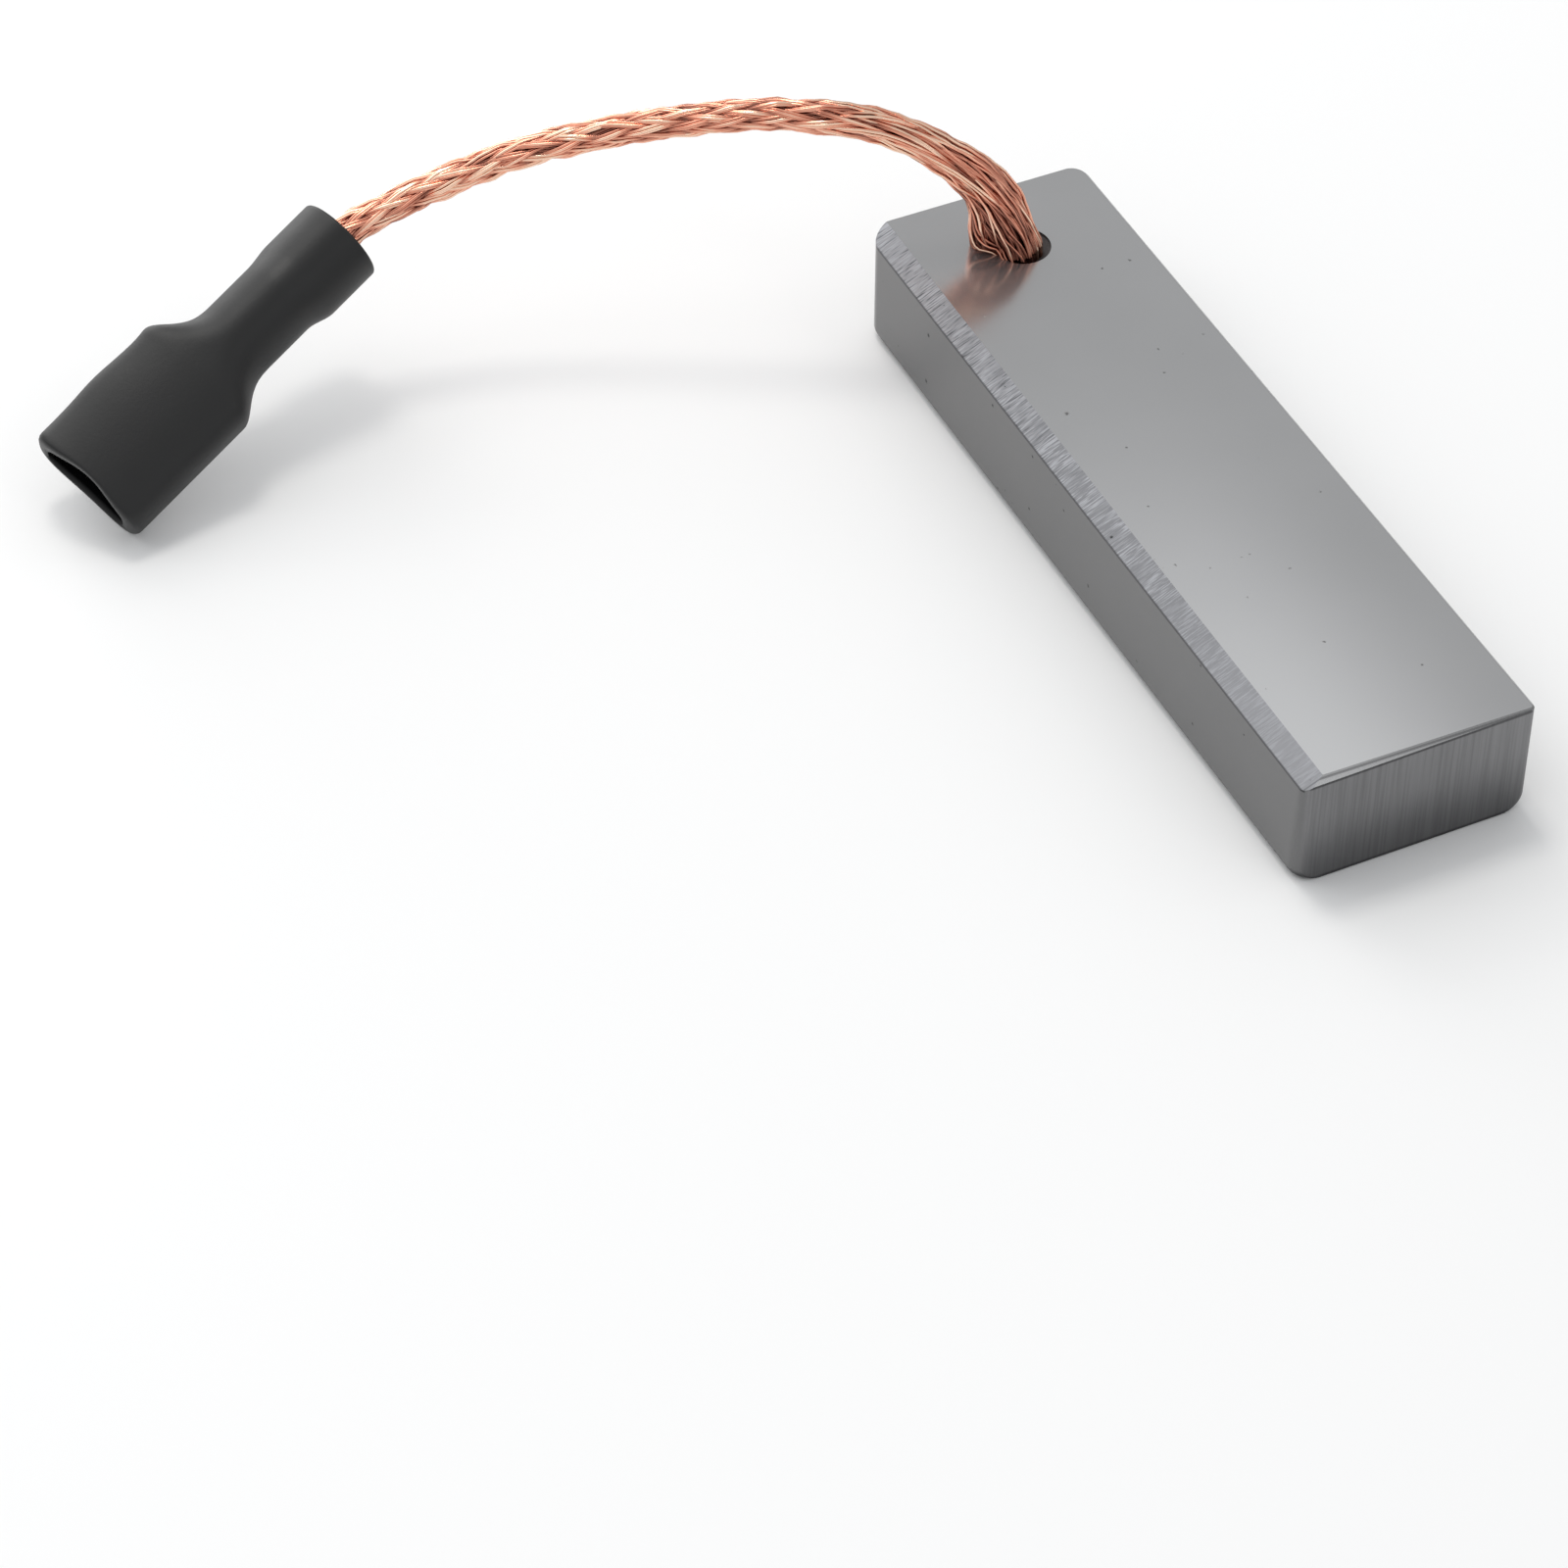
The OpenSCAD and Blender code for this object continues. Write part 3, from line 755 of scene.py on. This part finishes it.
class Nodes:
    """Short forms for the nodes that the materials share."""

    def __init__(self, material):
        self.tree = material.node_tree
        self.place = self.add("ShaderNodeTexCoord").outputs["Object"]

    def add(self, kind, **settings):
        node = self.tree.nodes.new(kind)
        for key, value in settings.items():
            setattr(node, key, value)
        return node

    def join(self, source, target):
        self.tree.links.new(source, target)

    def put(self, value, target):
        if isinstance(value, (int, float)):
            target.default_value = value
        elif isinstance(value, tuple):
            target.default_value = value
        else:
            self.join(value, target)

    def math(self, operation, a, b=0.0, c=0.0, clamp=False):
        node = self.add("ShaderNodeMath", operation=operation, use_clamp=clamp)
        for value, socket in zip((a, b, c), node.inputs):
            self.put(value, socket)
        return node.outputs[0]

    def times(self, first, *others):
        for other in others:
            first = self.math("MULTIPLY", first, other)
        return first

    def plus(self, base, share, amount):
        """The base with an amount added where the share is 1."""
        return self.math("MULTIPLY_ADD", share, amount, base)

    def stretch(self, vector, scale, turn=(0, 0, 0)):
        node = self.add("ShaderNodeMapping")
        self.put(vector, node.inputs["Vector"])
        node.inputs["Scale"].default_value = scale
        node.inputs["Rotation"].default_value = turn
        return node.outputs[0]

    def noise(self, vector, scale, detail, rough=0.5):
        node = self.add("ShaderNodeTexNoise")
        self.put(vector, node.inputs["Vector"])
        node.inputs["Scale"].default_value = scale
        node.inputs["Detail"].default_value = detail
        node.inputs["Roughness"].default_value = rough
        return node.outputs["Fac"]

    def spread(self, value, low, high, to_low=0.0, to_high=1.0):
        node = self.add("ShaderNodeMapRange", interpolation_type="SMOOTHSTEP")
        for item, key in ((value, "Value"), (low, "From Min"), (high, "From Max"),
                          (to_low, "To Min"), (to_high, "To Max")):
            self.put(item, node.inputs[key])
        return node.outputs[0]

    def spread_mm(self, value, low, high, to_low=0.0, to_high=1.0):
        return self.spread(value, low * MM, high * MM, to_low, to_high)

    def blend(self, share, a, b):
        node = self.add("ShaderNodeMix", data_type="RGBA")
        self.put(share, node.inputs[0])
        self.put(a, node.inputs[6])
        self.put(b, node.inputs[7])
        return node.outputs[2]

    def axis(self, vector):
        node = self.add("ShaderNodeSeparateXYZ")
        self.put(vector, node.inputs[0])
        return node.outputs

    def normal(self):
        return self.axis(self.add("ShaderNodeNewGeometry").outputs["Normal"])

    def attribute(self, name):
        return self.add("ShaderNodeAttribute", attribute_name=name).outputs["Fac"]

    def bump(self, height, distance, strength=1.0):
        node = self.add("ShaderNodeBump")
        node.inputs["Strength"].default_value = strength
        node.inputs["Distance"].default_value = distance
        self.put(height, node.inputs["Height"])
        return node.outputs[0]


def grey(level, blue=0.0):
    """A grey with a little more blue."""
    return (level, level, level + blue, 1)


# copper, from painted shade in the gaps between the wires to painted highlights on them
COPPER_SHADE = (0.30, 0.12, 0.085, 1)
COPPER_MIDDLE = (0.76, 0.32, 0.215, 1)
COPPER_LIGHT = (0.96, 0.475, 0.33, 1)
COPPER_HIGHLIGHT = (1.0, 0.67, 0.5, 1)
# wires that face down are darker below this stretch of heights
SHADE_Z = (10.5, 8.5)


def copper_material():
    material, shader = new_material("copper_wires")
    n = Nodes(material)
    mottle = n.noise(n.place, 900, 3)
    low = n.spread_mm(n.axis(n.place)[2], *SHADE_Z)
    shade = n.times(n.spread(n.normal()[2], 0.25, -0.35, 0.0, 0.9), low)
    share = n.math("ADD", n.attribute("tone"), n.times(n.math("SUBTRACT", mottle, 0.5), 0.6))
    share = n.math("SUBTRACT", share, shade, clamp=True)
    ramp = n.add("ShaderNodeValToRGB")
    n.join(share, ramp.inputs[0])
    ramp.color_ramp.elements[0].color = COPPER_SHADE
    ramp.color_ramp.elements[1].color = COPPER_HIGHLIGHT
    for place, colour in ((0.5, COPPER_MIDDLE), (0.8, COPPER_LIGHT)):
        ramp.color_ramp.elements.new(place).color = colour
    n.join(ramp.outputs[0], shader.inputs["Base Color"])
    shader.inputs["Metallic"].default_value = 1.0
    n.join(n.spread(mottle, 0.3, 0.7, 0.12, 0.24), shader.inputs["Roughness"])
    return material


# greys of the carbon, face by face: the top is polished and also painted lighter, as if lit from above;
# the other faces are duller and also painted darker, as in shade
BODY_DULL_AND_SHADE_GREYS = grey(0.15, 0.002), grey(0.175, 0.002)
TOP_POLISH_AND_LIGHT_GREYS = grey(0.43, 0.003), grey(0.465, 0.003)
TOP_HIGHLIGHT_GREY = grey(0.73, 0.004)
CHAMFER_GREYS = (0.137, 0.139, 0.148, 1), (0.178, 0.181, 0.192, 1)
STREAK_GREY = (0.238, 0.243, 0.258, 1)
NICK_GREY = (0.06, 0.063, 0.069, 1)
END_GREYS = grey(0.175, 0.004), grey(0.225, 0.005)
BEVEL_HIGHLIGHT_GREYS = grey(0.30, 0.004), grey(0.18, 0.002)
BEVEL_RIM_SHADE_GREYS = grey(0.23, 0.003), grey(0.165, 0.002)
UNDERSIDE_SHADE_GREY = grey(0.03, 0.001)
EDGE_SHADE_GREY = grey(0.02, 0.002)
PORE_GREY = grey(0.05, 0.002)
BLACK = grey(0)
# pores: how many to the metre, share of the cells that hold one, and radius in the cell
PORES = [(560, 0.3, 0.055), (1150, 0.2, 0.075)]
PORE_WOBBLE = 0.2

Surface = namedtuple("Surface", "spot normal top chamfer end side bevel foot past_top past_end")
Marks = namedtuple("Marks", "ticks worn lines wide_lines")


def carbon_surface(n):
    """Place and normal of a point of the block, a mask for each face, and distances past the bevel."""
    spot = n.axis(n.place)
    normal = n.normal()
    x, y, z = normal
    at_lean = (BLOCK_W / 2 * END_BEVEL_LEAN - END_BEVEL) * MM
    leaning = n.math("MULTIPLY_ADD", spot[1], END_BEVEL_LEAN, at_lean)
    return Surface(
        spot=spot,
        normal=normal,
        top=n.spread(z, 0.97, 0.99),
        chamfer=n.times(n.spread(y, -0.32, -0.38), n.spread(z, 0.8, 0.86)),
        end=n.spread(x, 0.6, 0.99),
        side=n.spread(y, -0.9, -0.97),
        bevel=n.times(n.spread(x, 0.6, 0.68), n.spread(z, 0.6, 0.68)),
        # faces turned down, which carry painted shade
        foot=n.spread(z, -0.02, -0.35),
        past_top=n.math("SUBTRACT", n.math("SUBTRACT", spot[0], BLOCK_L / 2 * MM), leaning),
        past_end=n.math("SUBTRACT", n.math("SUBTRACT", spot[2], BLOCK_T * MM), leaning),
    )


def grinding_marks(n):
    """Cross marks of the grinding wheel on the chamfer, and upright marks on the contact end."""
    return Marks(
        ticks=n.noise(n.stretch(n.place, (13000, 800, 800), (0, 0, 0.12)), 1.0, 2, 0.6),
        worn=n.noise(n.stretch(n.place, (700, 500, 500)), 1.0, 3),
        lines=n.noise(n.stretch(n.place, (100, 6500, 120), (0.1, 0, 0)), 1.0, 2, 0.6),
        wide_lines=n.noise(n.stretch(n.place, (100, 1500, 90), (0.12, 0, 0)), 1.0, 2),
    )


def carbon_pores(n):
    """Mask of the small pores, uneven in outline."""
    wobble = n.add("ShaderNodeTexNoise")
    wobble.inputs["Scale"].default_value = 6000
    n.join(n.place, wobble.inputs["Vector"])
    shift = n.add("ShaderNodeVectorMath", operation="MULTIPLY_ADD")
    n.join(wobble.outputs["Color"], shift.inputs[0])
    shift.inputs[1].default_value = (PORE_WOBBLE * MM,) * 3
    n.join(n.place, shift.inputs[2])
    pore = 0.0
    for scale, share, size in PORES:
        cells = n.add("ShaderNodeTexVoronoi", feature="F1")
        n.join(shift.outputs[0], cells.inputs["Vector"])
        cells.inputs["Scale"].default_value = scale
        spots = n.spread(cells.outputs["Distance"], size * 1.6, size * 0.6)
        rare = n.spread(n.axis(cells.outputs["Color"])[0], share + 0.01, share - 0.01)
        pore = n.math("MAXIMUM", pore, n.times(spots, rare))
    return pore


def painted_edge_shade(n, at):
    """Mask of the painted shade: thin dark lines where the faces meet and along the foot of the contact
    end.
    """
    _, y, z = at.spot
    edge, chamfer_z = BLOCK_W / 2, BLOCK_T - CHAMFER_DROP
    under_chamfer = n.times(
        n.spread_mm(y, 0.15 - edge, 0.1 - edge),
        n.spread_mm(z, chamfer_z - 0.13, chamfer_z - 0.06),
        n.spread_mm(z, chamfer_z + 0.04, chamfer_z),
    )
    right_edge = n.times(
        n.spread_mm(y, edge - 0.19, edge - 0.14),
        n.spread_mm(z, BLOCK_T - 0.3, BLOCK_T - 0.2),
    )
    before_bevel = n.times(
        n.spread_mm(at.past_top, 0.05, 0.08),
        n.spread_mm(at.past_top, 0.16, 0.13),
        n.spread(at.normal[2], 0.5, 0.6),
    )
    after_bevel = n.times(n.spread_mm(at.past_end, -0.2, -0.1), n.spread(at.normal[0], 0.9, 0.97))
    end_foot = n.times(
        n.spread_mm(z, 0.34, 0.12),
        n.spread_mm(y, 0.05 - edge, 1.75 - edge),
        n.spread(at.normal[0], 0.3, 0.5),
    )
    line = 0.0
    for mask, depth in ((under_chamfer, 0.75), (right_edge, 0.4), (before_bevel, 0.45),
                        (after_bevel, 0.7), (end_foot, 0.75)):
        line = n.math("MAXIMUM", line, n.times(mask, depth))
    return line


def chamfer_colour(n, at, marks, base):
    """The ground chamfer: lighter towards both ends, with streaks and darker nicks."""
    x = at.spot[0]
    to_ends = n.spread_mm(n.math("ABSOLUTE", n.math("SUBTRACT", x, 1 * MM)), 4, 20)
    base = n.blend(n.times(at.chamfer, 0.9), base, n.blend(to_ends, *CHAMFER_GREYS))
    streaks = n.times(
        n.spread(marks.ticks, 0.48, 0.58),
        n.spread(marks.worn, 0.35, 0.55, 0.5, 1.0),
        n.spread_mm(x, 0, 20, 1.0, 0.6),
    )
    base = n.blend(n.times(at.chamfer, streaks), base, STREAK_GREY)
    nicks = n.times(n.spread(marks.ticks, 0.42, 0.36), n.spread_mm(x, 4, -12))
    return n.blend(n.times(at.chamfer, nicks), base, NICK_GREY)


def end_colour(n, at, marks, base):
    """The contact end, with painted shade darkening it towards its foot, and the bevel above it with a
    painted highlight.
    """
    _, y, z = at.spot
    fine = n.spread(marks.lines, 0.35, 0.6, 0.0, 0.65)
    share = n.plus(fine, n.spread(marks.wide_lines, 0.3, 0.7), 0.35)
    # painted shade: the end darkens towards the floor
    end = n.blend(n.spread_mm(z, 0, 4.5, 0.6, 1.0), BLACK, n.blend(share, *END_GREYS))
    base = n.blend(at.end, base, end)
    # painted highlight on the bevel, brighter to the left, narrowed by a darker band at its upper rim
    across = n.spread_mm(y, -6, 6)
    past_rim = n.spread_mm(at.past_top, 0.08, 0.14)
    bevel = n.blend(past_rim, n.blend(across, *BEVEL_RIM_SHADE_GREYS), n.blend(across, *BEVEL_HIGHLIGHT_GREYS))
    return n.blend(at.bevel, base, bevel)


def carbon_colour(n, at, marks, cloud, pore):
    body = n.blend(cloud, *BODY_DULL_AND_SHADE_GREYS)
    # a painted highlight grows on the top towards the chamfer and the contact end
    top_highlight = n.times(n.spread_mm(at.spot[0], -12, 24), n.spread_mm(at.spot[1], 6, -5))
    base = n.blend(at.top, body, n.blend(top_highlight, n.blend(cloud, *TOP_POLISH_AND_LIGHT_GREYS), TOP_HIGHLIGHT_GREY))
    base = chamfer_colour(n, at, marks, base)
    base = end_colour(n, at, marks, base)
    # painted shade on the faces turned down, at the floor
    base = n.blend(n.times(at.foot, 0.85), base, UNDERSIDE_SHADE_GREY)
    base = n.blend(painted_edge_shade(n, at), base, EDGE_SHADE_GREY)
    return n.blend(n.times(pore, 0.8), base, PORE_GREY)


def carbon_material():
    material, shader = new_material("carbon_graphite")
    n = Nodes(material)
    at = carbon_surface(n)
    marks = grinding_marks(n)
    pore = carbon_pores(n)
    cloud = n.noise(n.place, 130, 4)
    grain = n.noise(n.place, 9000, 2)
    n.join(carbon_colour(n, at, marks, cloud, pore), shader.inputs["Base Color"])
    # the faces turned down also lose their metallic shine, as part of the painted shade
    n.join(n.plus(0.85, at.foot, -0.85), shader.inputs["Metallic"])
    n.join(n.plus(0.5, at.foot, -0.45), shader.inputs["Specular IOR Level"])
    rough = 0.17
    for share, amount in ((at.chamfer, 0.2), (at.end, 0.12), (at.side, 0.1), (pore, 0.4), (cloud, 0.05)):
        rough = n.plus(rough, share, amount)
    n.join(rough, shader.inputs["Roughness"])
    height = n.times(grain, 0.12)
    for face, mark, depth in ((at.chamfer, marks.ticks, 1.0), (at.end, marks.lines, 0.3)):
        height = n.math("ADD", height, n.times(face, mark, depth))
    n.join(n.bump(height, 0.02 * MM, 0.6), shader.inputs["Normal"])
    return material


POWDER_GREYS = (0.02, 0.02, 0.021, 1), (0.085, 0.075, 0.075, 1)
# bare brass and tin
TERMINAL_METALS = (0.62, 0.55, 0.40, 1), (0.72, 0.70, 0.64, 1)
SKIN_BLACKS = (0.0008, 0.0008, 0.001, 1), (0.002, 0.002, 0.0023, 1)
# painted shade for the inner skin
INSIDE_SHADE_BLACK = (0.0008, 0.0009, 0.0012, 1)


def powder_material():
    material, shader = new_material("tamped_powder")
    n = Nodes(material)
    grain = n.noise(n.place, 7000, 4, 0.7)
    n.join(n.blend(grain, *POWDER_GREYS), shader.inputs["Base Color"])
    shader.inputs["Roughness"].default_value = 0.75
    n.join(n.bump(grain, 0.08 * MM), shader.inputs["Normal"])
    return material


def terminal_material():
    material, shader = new_material("tinned_brass")
    n = Nodes(material)
    mottle = n.noise(n.place, 700, 4)
    n.join(n.blend(mottle, *TERMINAL_METALS), shader.inputs["Base Color"])
    shader.inputs["Metallic"].default_value = 1.0
    n.join(n.spread(mottle, 0.2, 0.8, 0.22, 0.36), shader.inputs["Roughness"])
    rolling = n.noise(n.stretch(n.place, (300, 2500, 300)), 1.0, 3)
    n.join(n.bump(rolling, 0.01 * MM), shader.inputs["Normal"])
    return material


def sleeve_material():
    material, shader = new_material("shrunk_sleeve")
    n = Nodes(material)
    cloud = n.noise(n.place, 260, 3)
    fine = n.noise(n.place, 4200, 3, 0.6)
    inside = n.attribute("inside")
    # painted shade inside the mouth: the inner skin is darker and far less shiny
    n.join(n.blend(inside, n.blend(cloud, *SKIN_BLACKS), INSIDE_SHADE_BLACK), shader.inputs["Base Color"])
    n.join(n.plus(0.52, inside, -0.44), shader.inputs["Specular IOR Level"])
    n.join(n.spread(cloud, 0.2, 0.8, 0.43, 0.52), shader.inputs["Roughness"])
    n.join(n.bump(fine, 0.012 * MM, 0.6), shader.inputs["Normal"])
    return material


# studio

FLOOR_HALF = 3.0
FLOOR_GREY = grey(0.9)
FLOOR_ROUGH = 0.6
SKY = (0.97, 0.985, 1.0, 1)
SKY_STRENGTH = 0.66
AIM = (-0.005, -0.02, 0.005)
WHITE = (1, 1, 1)
# soft boxes: name, place, size, power and colour
LIGHTS = [
    ("box", (-0.30, -0.20, 0.52), (0.62, 0.62), 1.35, WHITE),
    ("key", (-0.66, -0.10, 0.36), (0.42, 0.34), 0.8, (1, 0.99, 0.97)),
    ("left", (-0.62, 0.02, 0.10), (0.5, 0.14), 0.6, WHITE),
    ("spark", (-0.22, -0.02, 0.60), (0.13, 0.13), 0.6, (1, 0.97, 0.92)),
    ("end", (0.46, 0.22, 0.44), (0.10, 0.24), 0.1, WHITE),
]


def area_light(name, at, size, power, colour):
    data = bpy.data.lights.new(name, "AREA")
    data.shape = "RECTANGLE"
    data.size, data.size_y = size
    data.energy = power
    data.color = colour
    light = link(bpy.data.objects.new(name, data))
    light.location = at
    light.rotation_mode = "QUATERNION"
    light.rotation_quaternion = (Vector(AIM) - Vector(at)).to_track_quat("-Z", "Y")


def make_floor():
    material, shader = new_material("floor")
    shader.inputs["Base Color"].default_value = FLOOR_GREY
    shader.inputs["Roughness"].default_value = FLOOR_ROUGH
    half = FLOOR_HALF
    corners = [(-half, -half, 0), (half, -half, 0), (half, half, 0), (-half, half, 0)]
    mesh = bpy.data.meshes.new("floor")
    mesh.from_pydata(corners, [], [(0, 1, 2, 3)])
    mesh.materials.append(material)
    floor = link(bpy.data.objects.new("floor", mesh))


def make_studio():
    make_floor()
    world = bpy.data.worlds.new("studio")
    world.use_nodes = True
    background = world.node_tree.nodes["Background"]
    background.inputs["Color"].default_value = SKY
    background.inputs["Strength"].default_value = SKY_STRENGTH
    bpy.context.scene.world = world
    for light in LIGHTS:
        area_light(*light)
    bpy.context.scene.view_settings.view_transform = "Standard"
    bpy.context.scene.view_settings.look = "None"


def dress_node(name, material):
    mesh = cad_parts[name].data
    mesh.materials.clear()
    mesh.materials.append(material)


make_camera()
lead, lead_line = make_lead(copper_material())
sleeve = make_sleeve(sleeve_material())
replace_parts(lead, "pigtail")
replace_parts(sleeve, "insulating_sleeve")
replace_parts(make_block(carbon_material()), "carbon_block")
dress_node("tamping_plug", powder_material())
dress_node("female_terminal", terminal_material())
make_studio()
